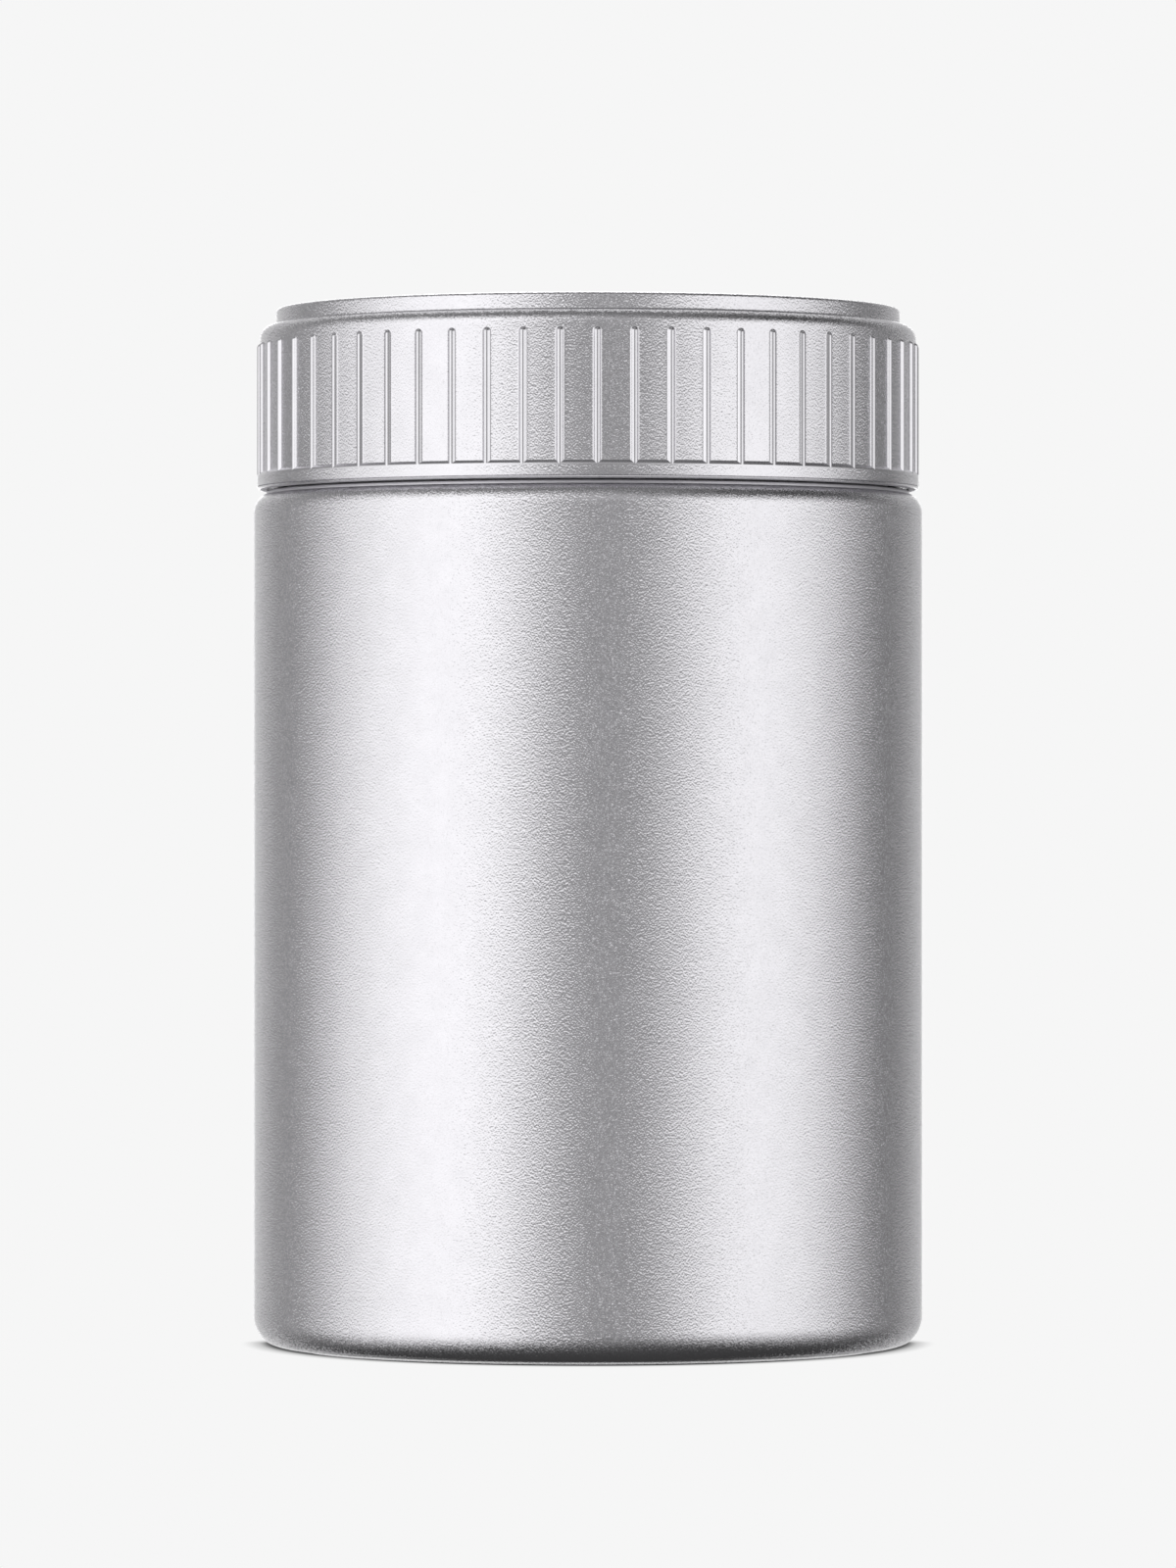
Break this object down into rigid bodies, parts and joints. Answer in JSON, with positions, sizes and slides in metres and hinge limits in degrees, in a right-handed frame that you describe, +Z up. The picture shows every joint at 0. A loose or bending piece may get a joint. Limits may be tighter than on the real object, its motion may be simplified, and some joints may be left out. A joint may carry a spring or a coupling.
{
  "type": "plastic jar",
  "caption": "Straight-sided round storage jar with a flush ribbed screw cap, raised disc top, threaded inner cap and sealing liner.",
  "frame": {"origin": "centre of the circle that the base stands on", "axes": "+Z up along the jar's axis, from the base to the cap's disc; -Y is the side that the picture shows"},
  "size_m": [0.104, 0.104, 0.1616],
  "materials": {
    "silver_coat": "satin",
    "insert_plastic": "satin",
    "liner_foam": "matte"
  },
  "bodies": {
    "jar": {"jar_body": "silver_coat"},
    "liner": {"cap_liner": "liner_foam"},
    "cap": {"cap_shell": "silver_coat", "cap_insert": "insert_plastic"}
  },
  "joints": [
    {"name": "cap_lift", "type": "slide", "parent": "jar", "child": "liner", "axis": [0, 0, 1], "range_m": [0, 0.0254]},
    {"name": "cap_turn", "type": "hinge", "parent": "liner", "child": "cap", "pos_m": [0, 0, 0.1558], "axis": [0, 0, 1], "range_deg": [0, 1800]}
  ],
  "couplings": [
    {"joint": "cap_lift", "follows": "cap_turn", "m_per_rad": 0.0008085}
  ]
}
